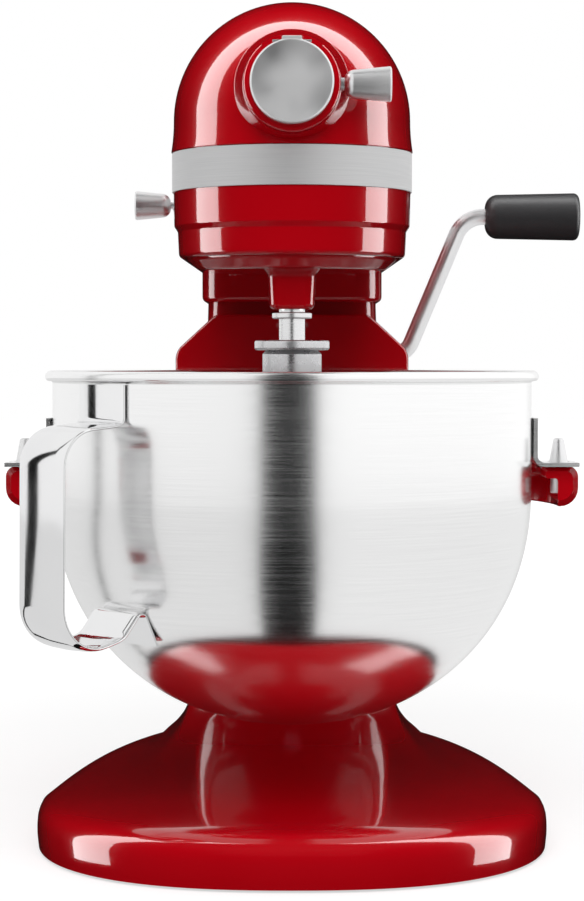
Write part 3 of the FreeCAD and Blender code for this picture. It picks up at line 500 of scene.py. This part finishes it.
HEAD_LOW = 284.6
PLANET_ROOM_R = 52.0
ROOM_DEPTH = 11
lower_side = [(50, HEAD_LOW, 0), (55.2, HEAD_LOW, 2.5), (55.8, 297.6, 1.6), (57.5, 300.2, 1.4),
              (HEAD_SIDE, SEAM_Z, 0)]
lower_rows = [head_loop((p.x, p.y), (p.x - TAPER, p.y)) for p in soften(lower_side, False, 5)[1:]]
mouth = []
for x, y, z in lower_rows[0]:
    angle = math.atan2(y * (0.3 if y > 0 else 1), x)
    mouth.append((PLANET_ROOM_R * math.cos(angle), PLANET_ROOM_R * math.sin(angle), HEAD_LOW))
ceiling = [(x, y, HEAD_LOW + ROOM_DEPTH) for x, y, z in mouth]
pedestal = [(-49.2, 126, 15), (49.2, 126, 15), (49.2, 220, 18), (-49.2, 220, 18)]
speed_slot = [(88, 310.8, 2.5), (140, 310.8, 2.5), (140, 316.0, 2.5), (88, 316.0, 2.5)]
cord_hole = [(0, 0, 0), (5.0, 0, 0), (5.0, 40, 0), (0, 40, 0)]
make("head_lower_housing",
     carved(grid([ceiling, mouth] + lower_rows, caps=(True, True)),
            slab(speed_slot, lambda u, v, w: (w, u, v), -70, -46, 0.1, 0.1, 1)),
     carved(slab(pedestal, lambda u, v, w: (u, v, w), COLUMN_TOP, HEAD_LOW + 3, 3.0, 0.2),
            turned(cord_hole, (0, 190, 277), (0, 1, 0), around=32)))


# %% [markdown]
# The rear end closes the head with an arch that shrinks as it rounds off, so it is a loft of arches
# with six vent slits cut through it. The trim band is a strip bent round the whole head, drawn as a
# thin section that follows the plan of the housings and of the rear end.


# %% Rear end and trim band
def rear_section(y, half, arch_z, low, count=14):
    """Closed outline of the rear end: flat foot, round lower corners, upright sides and an arch."""
    c = 12.0
    ring = [(x, y, low) for x in np.linspace(-half + c, half - c, count)]
    for k in range(1, count):
        t = math.pi / 2 * (k / count - 1)
        ring.append((half - c + c * math.cos(t), y, low + c + c * math.sin(t)))
    for z in np.linspace(low + c, arch_z, count)[:-1]:
        ring.append((half, y, z))
    for k in range(4 * count + 1):
        t = math.pi * k / (4 * count)
        ring.append((half * math.cos(t), y, arch_z + half * math.sin(t)))
    for z in np.linspace(arch_z, low + c, count)[1:]:
        ring.append((-half, y, z))
    for k in range(1, count):
        t = math.pi * (1 + k / count / 2)
        ring.append((-half + c + c * math.cos(t), y, low + c + c * math.sin(t)))
    return ring


rear_rows = [(HEAD_REAR, 54.8, 351.6, 287.4), (214, 53.4, 351.0, 288.4), (232, 48.0, 348.8, 293.5),
             (241, 39.0, 345.5, 301.0), (245, 29.0, 342.0, 309.0)]
LOUVRES = 6
LOUVRE_LOW, LOUVRE_PITCH, LOUVRE_HIGH = 338, 6.5, 3.2
louvres = []
for i in range(LOUVRES):
    z = LOUVRE_LOW + LOUVRE_PITCH * i
    reach = 21 - 0.9 * abs(i - 1.5)
    slit = [(-reach, z, 1.5), (reach, z, 1.5), (reach, z + LOUVRE_HIGH, 1.5), (-reach, z + LOUVRE_HIGH, 1.5)]
    louvres.append(slab(slit, lambda u, v, w: (u, w, v), 232, 260, 0.1, 0.1, 1))
rear_shape = grid(smooth_rows([rear_section(*row) for row in rear_rows], 8), caps=(True, True))
make("rear_end_cover", carved(rear_shape, *louvres))


def band_plan(proud, z):
    """Closed outline of the band in plan, standing a little proud of the head."""
    ring = head_loop((HEAD_SIDE + proud, z), (HEAD_SIDE + proud - TAPER, z), rear_steps=1)
    rear = smooth_rows([(half + proud, y, z) for y, half, *_ in rear_rows], 6)[1:]
    rear[-1][1] += proud
    right = [tuple(p) for p in rear]
    return ring + right + [(-x, y, z) for x, y, z in reversed(right)]


BAND_PROUD = 0.6
BAND_SUNK = -0.3
band_side = [(BAND_SUNK, BAND_LOW, 0), (BAND_PROUD, BAND_LOW, 0.3), (BAND_PROUD, BAND_HIGH, 0.3),
             (BAND_SUNK, BAND_HIGH, 0)]
band_rows = [band_plan(p.x, p.y) for p in soften(band_side, False, 3)]
make("trim_band", grid(band_rows + band_rows[:1]))

# %% [markdown]
# ## The attachment hub and the knobs
# These are turned pieces. A lathe profile with small edge radii is the way that they are really
# made, and the radii are what catches the light. The boss flares where it runs into the dome.

# %% Boss, cover and knobs
HUB_Z = 362.5
BORE_R = 15.9
BORE_DEPTH = 13.5
boss = [(BORE_R, BORE_DEPTH, 0), (BORE_R, 0, 0.8), (22.4, 0, 1.8), (22.7, 9, 8), (27, 20, 6),
        (28.5, 32, 0), (10, 32, 0), (10, BORE_DEPTH, 0)]
notch = [(-73, 372.5, 0.1), (-64, 372.5, 0.1), (-64, 392.5, 0.1), (-73, 392.5, 0.1)]
relief = [(-73, 378, 0.1), (-70, 378, 0.1), (-70, 392.5, 0.1), (-73, 392.5, 0.1)]
make("hub_boss", carved(turned(boss, (0, -72, HUB_Z), (0, 1, 0), closed=True, steps=8),
                        slab(notch, lambda u, v, w: (w, u, v), -4.9, 4.9, 0.1, 0.1, 1),
                        slab(relief, lambda u, v, w: (w, u, v), -14, 14, 0.1, 0.1, 1)))
COVER_R = 19.3
cover = [(0, 0, 0), (COVER_R, 0, 1.0), (COVER_R, 5.2, 0.5), (0, 5.2, 0)]
lug = [(-74.5, 378.75, 0.4), (-66.4, 378.75, 1.8), (-66.4, 383.9, 1.8), (-71.4, 383.9, 1.8),
       (-74.5, 380.5, 0.4)]
make("hub_cover", turned(cover, (0, -78, HUB_Z), (0, 1, 0)),
     slab(lug, lambda u, v, w: (w, u, v), -4.5, 4.5, 0.4, 0.4, 2))


def bullet(length, r_nose, r_end):
    """Blunt nose, straight flank and a slightly dished end."""
    return [(0, 0, 0), (r_nose, 0, r_nose * 0.8), (r_end, length, 0.9), (r_end - 2.2, length, 0.6),
            (r_end - 3.4, length - 0.9, 0), (0, length - 0.9, 0)]


CLAMP_Y = -63
clamp_screw = [(0, 0, 0), (3.05, 0, 0.3), (3.05, 10, 0), (0, 10, 0)]
make("attachment_knob", turned(bullet(22, 6.2, 8.25), (24, CLAMP_Y, HUB_Z), (1, 0, 0), steps=10),
     turned(clamp_screw, (16.4, CLAMP_Y, HUB_Z), (1, 0, 0), around=32))
SPEED_Y = 135
SPEED_Z = 319.5
STEM_R = 2.0
make("speed_knob", turned(bullet(19.4, 6.0, 7.95), (-66.2, SPEED_Y, SPEED_Z), (-1, 0, 0), steps=10))
stem = soften([(-45, 313.4, 0), (-62.0, 313.4, 3.0), (-63.2, SPEED_Z, 3.0), (-68, SPEED_Z, 0)], False, 8)
make("speed_stem", swept([(p.x, SPEED_Y, p.y) for p in stem], circle(STEM_R)))

# %% [markdown]
# ## The planetary and the hook
# The dish turns about the mixing axis and carries a square nose off to one side, with a soft flare
# where the two meet. The hook is a bent, burnished casting: a smooth curve through a few points that
# carries a round section and ends in a ball.

# %% Dish, nose, shaft and hook
PLANET_Y = -24.0
dish = [(0, 278.5, 0), (45.2, 278.5, 5.0), (51.0, 283.8, 3.0), (51.0, 287.2, 0.8), (48.0, 287.2, 0.8),
        (46.5, 282.0, 2.0), (0, 282.0, 0)]
nose_rows = []
for k in range(25):
    f = k / 24
    height = 259.5 + 20 * f
    flare = max(0, (height - 274.5) / 5) ** 2 * 3.0
    half = 9.6 + 1.1 * min(1, f * 12) ** 0.5 + 1.0 * f + flare
    square = [(-half, PLANET_Y - half, 5), (half, PLANET_Y - half, 5), (half, PLANET_Y + half, 5),
              (-half, PLANET_Y + half, 5)]
    nose_rows.append([(p.x, p.y, height) for p in soften(square)])
make("planetary_housing", turned(dish, steps=8), grid(nose_rows, caps=(True, True)))
washer = [(6.25, 255, 0.2), (9.5, 255, 0.7), (9.5, 258, 0.7), (6.25, 258, 0.2)]
make("nose_washer", turned(washer, (0, PLANET_Y, 0), closed=True, around=64))
shaft = [(0, 219, 0), (6.2, 219, 0.8), (6.2, 288, 0), (0, 288, 0)]
make("beater_shaft", turned(shaft, (0, PLANET_Y, 0), around=64))
hook_flange = [(6.3, 239.9, 0.5), (18.0, 239.9, 1.2), (18.0, 244.7, 1.2), (6.3, 244.7, 0.5)]
hook_neck = [(0, 212, 0), (9.0, 212, 4.0), (14.2, 219, 3.0), (14.2, 238.0, 0.8), (12.6, 239.9, 0),
             (6.3, 239.9, 0), (6.3, 218.5, 0), (0, 218.5, 0)]
hook_spots = [(0, 0, 216), (1, 0, 208), (16, 2, 190), (33, 1, 167), (38, -8, 143), (28, -24, 122),
              (8, -30, 111), (-12, -23, 106), (-19, -10, 105.5)]
HOOK_R = 7.2
hook_path = smooth_rows([(x, PLANET_Y + y, h) for x, y, h in hook_spots], 8)
hook_ball = [(HOOK_R * math.sin(math.pi * k / 16), HOOK_R - HOOK_R * math.cos(math.pi * k / 16), 0)
             for k in range(17)]
tip = Vector(hook_path[-1])
make("dough_hook", turned(hook_flange, (0, PLANET_Y, 0), closed=True), turned(hook_neck, (0, PLANET_Y, 0)),
     swept(hook_path, circle(HOOK_R, 32)), turned(hook_ball, tuple(tip - Vector((0, 0, HOOK_R))), around=32))

# %% [markdown]
# ## The bowl
# A spun and brushed steel bowl with a rolled rim: an upright wall above a super-ellipse, turned about
# the axis with its real sheet thickness. The strap handle is a pressed strip with a soft crown, whose
# upper tab lies round the wall. Its rows bend to the bowl where the strip comes near it.


# %% Bowl and handle
BOWL_R = 117.0
SHEET = 1.2
LOW_Z, ROUND_Z, RIM_Z = 57.2, 171.5, 230.0
BOWL_POWER = 2.12


def bowl_side(inside, count=40):
    side = []
    for i in range(count + 1):
        t = math.pi / 2 * (1 - i / count)
        r = (BOWL_R - inside) * max(0, math.cos(t)) ** (2 / BOWL_POWER)
        drop = (ROUND_Z - LOW_Z - inside) * math.sin(t) ** (2 / BOWL_POWER)
        side.append((r if i else 0, ROUND_Z - drop, 0))
    return side


rolled_rim = [(BOWL_R, RIM_Z - 4.9, 1.0), (BOWL_R + 3.4, RIM_Z - 4.9, 1.8), (BOWL_R + 3.4, RIM_Z, 2.4),
              (BOWL_R - SHEET, RIM_Z, 2.4)]
wall = [(BOWL_R, h, 0) for h in (185, 200, 215)]
inner_wall = [(BOWL_R - SHEET, h, 0) for h in (215, 200, 185)]
bowl_line = bowl_side(0) + wall + rolled_rim + inner_wall + bowl_side(SHEET)[::-1]
make("bowl", turned(bowl_line, around=240, steps=8), crease=60)

HANDLE_TURN = math.radians(42)
HANDLE_WIDE = 34.0
HANDLE_THICK = 2.2
out = Vector((-math.cos(HANDLE_TURN), -math.sin(HANDLE_TURN), 0))
across = Vector((math.sin(HANDLE_TURN), -math.cos(HANDLE_TURN), 0))
handle_line = [(118.3, 224, 0), (118.3, 205.5, 4), (150.6, 202.5, 17), (151.5, 99.5, 19),
               (119.0, 108.0, 12), (107.5, 121.5, 3), (99.5, 104, 0)]
strap_rows = []
handle_path = soften(handle_line, False, 14)
handle_path = [handle_path[0].lerp(handle_path[1], f) for f in (0, 0.33, 0.67)] + handle_path[1:]
for i, p in enumerate(handle_path):
    ahead = (handle_path[min(i + 1, len(handle_path) - 1)] - handle_path[max(i - 1, 0)]).normalized()
    face = Vector((-ahead.y, ahead.x))
    hug = min(1.0, max(0.0, (124 - p.x) / 5))
    row = []
    for k in range(40):
        t = 2 * math.pi * k / 40
        c, s = math.cos(t), math.sin(t)
        w = HANDLE_WIDE / 2 * math.copysign(abs(c) ** 0.25, c)
        crown = 0.9 * (1 - (w / (HANDLE_WIDE / 2)) ** 2) * (1 - hug)
        lean = face * (HANDLE_THICK / 2 * math.copysign(abs(s) ** 0.8, s) + crown)
        round_wall = (BOWL_R - math.sqrt(BOWL_R ** 2 - w ** 2)) * hug
        spot = out * (p.x + lean.x - round_wall) + across * w
        row.append((spot.x, spot.y, p.y + lean.y))
    strap_rows.append(row)
make("bowl_handle", grid(strap_rows, caps=(True, True)), crease=50)

# %% [markdown]
# ## The bowl lift
# The carrier is a casting: a plate that slides on the column and two arms that reach round the bowl
# to its locating pins. The lever is a bent chromed rod with a moulded grip.

# %% Carrier, pins, lever and grip
SEAT_Z = 183.4
PIN_X = 131.0
plate = [(-63.2, 150, 5), (63.2, 150, 5), (63.2, 240, 10), (41.5, 260, 8), (-41.5, 260, 8),
         (-63.2, 240, 10)]
plate_shape = slab(plate, lambda u, v, w: (u, w, v), 122.5, 137, 1.8, 1.8)
arm_section = [(122.0, SEAT_Z, 1.2), (140.2, SEAT_Z, 5.0), (140.2, 163.5, 9.0), (130.0, 163.5, 1.0),
               (130.0, SEAT_Z - 5, 2.0), (122.0, SEAT_Z - 5, 1.2)]
root_section = [(124.5, SEAT_Z, 1.0), (140.2, SEAT_Z, 5.0), (140.2, 152, 6.0), (124.5, 152, 2.0)]
ARM_END, ARM_ROOT = -4.0, 62.0
arms = []
outline = soften(arm_section)
middle = sum(outline, Vector((0, 0))) / len(outline)
for hand in (1, -1):
    rows = []
    for k in range(41):
        turn = ARM_END + (ARM_ROOT - ARM_END) * k / 40
        shrink = min(1.0, (turn - ARM_END) / 2.4)
        grow = 0.72 + 0.28 * math.sqrt(1 - (1 - shrink) ** 2)
        t = math.radians(turn)
        ring = [middle + (p - middle) * grow for p in outline]
        rows.append([(hand * p.x * math.cos(t), p.x * math.sin(t), p.y) for p in ring])
    arms.append(grid(rows, caps=(True, True)))
    t0, t1 = (46, 68) if hand > 0 else (112, 134)
    arms.append(turned(root_section, closed=True, arc=(t0, t1), around=12))
PIVOT_Y, PIVOT_Z = 170.0, 238.0
tongue = [(130, 243, 0.5), (198, 243, 4), (198, 261, 4), (130, 261, 0.5)]
arms.append(slab(tongue, lambda u, v, w: (w, u, v), -10, 4, 1, 1))
make("bowl_support", plate_shape, *arms)
pin_top = SEAT_Z + 13.6
pin = [(0, 170, 0), (4.0, 170, 0.5), (4.0, SEAT_Z, 0), (4.6, SEAT_Z, 0), (4.6, SEAT_Z + 2.2, 0),
       (2.5, pin_top, 1.6), (0, pin_top, 0)]
make("locating_pins", *[turned(pin, (x, 0, 0), around=40) for x in (-PIN_X, PIN_X)])
ROD_R = 4.5
GRIP_Z = 315.5
GRIP_START, GRIP_END = 108.3, 160.6
rod_line = soften([(6, PIVOT_Z, 0), (64, PIVOT_Z, 12), (96.4, GRIP_Z, 16), (152, GRIP_Z, 0)], False, 14)
make("lift_rod", swept([(p.x, PIVOT_Y, p.y) for p in rod_line], circle(ROD_R, 32)))
grip_length = GRIP_END - GRIP_START
grip = [(0, 0, 0), (12.2, 0, 7.0), (13.25, grip_length, 3.0), (0, grip_length, 0)]
make("lift_grip", turned(grip, (GRIP_START, PIVOT_Y, GRIP_Z), (1, 0, 0), steps=12))

# %% [markdown]
# ## Floor, light and camera
# The portrait is a white studio. The floor and the space behind are white to the camera, and the
# floor still takes the shadow. Mirroring surfaces don't see that white directly: the enamel mirrors
# an arch of light, and the metal mirrors a white room, so that each shows what a studio would show it.


# %% White floor and white space behind
def ray_kind(tree):
    """One for the rays of the camera and for those that mirror or pass through."""
    path = add(tree, "ShaderNodeLightPath")
    first = add(tree, "ShaderNodeMath", {"operation": "MAXIMUM"},
                links={0: path.outputs["Is Camera Ray"], 1: path.outputs["Is Glossy Ray"]})
    return path, add(tree, "ShaderNodeMath", {"operation": "MAXIMUM"},
                     links={0: first.outputs[0], 1: path.outputs["Is Transmission Ray"]}).outputs[0]


FLOOR_HALF = 8.0
FLOOR_GLOW = (0.62, 0.92)
floor_mesh = bpy.data.meshes.new("studio_floor")
corners = [(-FLOOR_HALF, -FLOOR_HALF, 0), (FLOOR_HALF, -FLOOR_HALF, 0), (FLOOR_HALF, FLOOR_HALF, 0),
           (-FLOOR_HALF, FLOOR_HALF, 0)]
floor_mesh.from_pydata(corners, [], [(0, 1, 2, 3)])
floor = bpy.data.objects.new("studio_floor", floor_mesh)
bpy.context.scene.collection.objects.link(floor)
paper, tree, shader = blank("paper_matt_white", Roughness=0.9, Specular_IOR_Level=0.0)
shader.inputs["Base Color"].default_value = linear("#B6B6B6")
shader.inputs["Emission Color"].default_value = linear("#FFFFFF")
place = add(tree, "ShaderNodeTexCoord")
away = add(tree, "ShaderNodeVectorMath", {"operation": "LENGTH"}, links={0: place.outputs["Object"]})
lift = add(tree, "ShaderNodeMapRange", values={"From Min": 0.35, "From Max": 1.6, "To Min": FLOOR_GLOW[0],
                                               "To Max": FLOOR_GLOW[1]}, links={"Value": away.outputs["Value"]})
glow = add(tree, "ShaderNodeMath", {"operation": "MULTIPLY"},
           links={0: ray_kind(tree)[1], 1: lift.outputs["Result"]})
tree.links.new(glow.outputs[0], shader.inputs["Emission Strength"])
floor_mesh.materials.append(paper)
floor.visible_glossy = False
floor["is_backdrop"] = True

world = bpy.data.worlds.new("white_studio")
bpy.context.scene.world = world
world.use_nodes = True
tree = world.node_tree
STUDIO_LIGHT = 0.36
STUDIO_DIM = 0.005
path, seen = ray_kind(tree)
shown = add(tree, "ShaderNodeMapRange", values={"To Min": STUDIO_DIM, "To Max": 1.0},
            links={"Value": path.outputs["Is Camera Ray"]})
level = add(tree, "ShaderNodeMix", {"data_type": "FLOAT"}, {"A": STUDIO_LIGHT},
            {"Factor": seen, "B": shown.outputs["Result"]})
tree.links.new(level.outputs["Result"], tree.nodes["Background"].inputs["Strength"])
tree.nodes["Background"].inputs["Color"].default_value = (1.0, 1.0, 1.0, 1.0)
print("studio: floor", 2 * FLOOR_HALF, "m wide")

# %% [markdown]
# One set of lights can't suit both kinds of surface: a white room would wash out the red, and an arch
# alone would leave the steel black. So the pieces are sorted by finish, and each light is linked to
# the group that mirrors it.

# %% Which pieces each light falls on
enamel_pieces = bpy.data.collections.new("enamel_pieces")
metal_pieces = bpy.data.collections.new("metal_pieces")
not_metal = [finish_of[slot] for slot in ("red_enamel", "black_grip", "black_rubber")]
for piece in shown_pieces():
    group = enamel_pieces if piece.data.materials[0] in not_metal else metal_pieces
    group.objects.link(piece)


# %% [markdown]
# The arch stands at both sides and over the mixer: in the enamel it is the two upright strips and the
# bow over the dome. The white room goes all round the metal, except for a gap in front, which is the
# dark band in the bowl, and a slit at the left for the dark line on the handle. These sheets let rays
# through, so neither hides the other. Two lamps that aren't mirrored give the plain light.


# %% The arch, the white room and the lamps
def light_sheet(name, rows, glow, group):
    """A sheet of light through rows of points in metres, which only the pieces of a group mirror."""
    points, faces = grid(rows, around=False)
    mesh = bpy.data.meshes.new(name)
    mesh.from_pydata([(axis_x + x, axis_y + y, z) for x, y, z in points], [], faces)
    cloth, tree, _ = blank(name + "_cloth")
    light = add(tree, "ShaderNodeEmission", values={"Strength": glow})
    clear = add(tree, "ShaderNodeBsdfTransparent")
    both = add(tree, "ShaderNodeAddShader", links={0: light.outputs[0], 1: clear.outputs[0]})
    tree.links.new(both.outputs[0], tree.nodes["Material Output"].inputs["Surface"])
    mesh.materials.append(cloth)
    sheet = bpy.data.objects.new(name, mesh)
    bpy.context.scene.collection.objects.link(sheet)
    sheet.visible_camera = False
    sheet.visible_diffuse = False
    sheet.visible_shadow = False
    sheet.light_linking.receiver_collection = group
    sheet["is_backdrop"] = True


ARCH_LIGHT_R = 1.25
ARCH_EDGES = (-0.36, 0.30)
ARCH_LEAN = 0.14
ARCH_NARROWER = 0.4
ARCH_FOOT = -0.3
ARCH_SPRING = 0.35
ARCH_GLOW = 8.0
arch_rows = []
for edge in ARCH_EDGES:
    row = [(ARCH_LIGHT_R, edge, ARCH_FOOT)]
    for k in range(33):
        t = math.pi * k / 32
        y = edge * (1 - ARCH_NARROWER * math.sin(t)) + ARCH_LEAN * math.sin(t)
        row.append((ARCH_LIGHT_R * math.cos(t), y, ARCH_SPRING + ARCH_LIGHT_R * math.sin(t)))
    arch_rows.append(row + [(-ARCH_LIGHT_R, edge, ARCH_FOOT)])
light_sheet("light_arch", arch_rows, ARCH_GLOW, enamel_pieces)

ROOM_R = 3.0
ROOM_TOP = 2.6
FLOOR_SHARE = 0.8
ROOM_FLOOR = -0.003
room_profile = [(0.15, ROOM_FLOOR), (ROOM_R, ROOM_FLOOR), (ROOM_R, ROOM_TOP), (0.6, ROOM_TOP + 0.6)]
room_parts = [("right", 11, 150, 1.12), ("back", 150, 210, 0.95), ("rear_left", 210, 256, 0.98),
              ("left", 260, 346, 1.0)]
for name, start, end, glow in room_parts:
    ways = []
    for k in range(25):
        t = math.radians(start + (end - start) * k / 24)
        ways.append((math.sin(t), -math.cos(t)))
    low, edge, high, over = [[(r * x, r * y, z) for x, y in ways] for r, z in room_profile]
    light_sheet("room_wall_" + name, [edge, high, over], glow, metal_pieces)
    light_sheet("room_floor_" + name, [low, edge], glow * FLOOR_SHARE, metal_pieces)

LAMP_AIM = 0.2
lamps = [("lamp_overhead", (0, -0.2, 1.7), 2.0, 15.0), ("lamp_front", (0, -1.4, 1.3), 1.4, 16.0)]
for name, (x, y, z), size, power in lamps:
    light = bpy.data.lights.new(name, "AREA")
    light.size = size
    light.energy = power
    lamp = bpy.data.objects.new(name, light)
    lamp.location = (axis_x + x, axis_y + y, z)
    aim = Vector((axis_x, axis_y, LAMP_AIM)) - lamp.location
    lamp.rotation_euler = aim.to_track_quat("-Z", "Y").to_euler()
    lamp.visible_camera = False
    lamp.visible_glossy = False
    bpy.context.scene.collection.objects.link(lamp)
print("lights: an arch, a white room in", len(room_parts), "parts and", len(lamps), "lamps")

# %% [markdown]
# The camera stands a little over a metre in front, a hand's width above the bowl's middle, and looks
# slightly down. The focal length and the horizon are written in pixels of the photograph.

# %% Camera at the photograph's viewing angle
FOCAL_PX = 2363.0
IMAGE_W = 584
HORIZON_PX = 90.0
CAMERA_AWAY = 1.160
CAMERA_Z = 0.235
lens = bpy.data.cameras.new("portrait_camera")
lens.sensor_fit = "HORIZONTAL"
lens.sensor_width = 36.0
lens.lens = FOCAL_PX / IMAGE_W * lens.sensor_width
camera = bpy.data.objects.new("portrait_camera", lens)
camera.location = (axis_x, axis_y - CAMERA_AWAY, CAMERA_Z)
camera.rotation_euler = (math.pi / 2 - math.atan(HORIZON_PX / FOCAL_PX), 0, 0)
bpy.context.scene.collection.objects.link(camera)
bpy.context.scene.camera = camera
bpy.context.scene.view_settings.view_transform = "Standard"
print("camera:", round(lens.lens, 1), "mm lens,", CAMERA_AWAY, "m away")
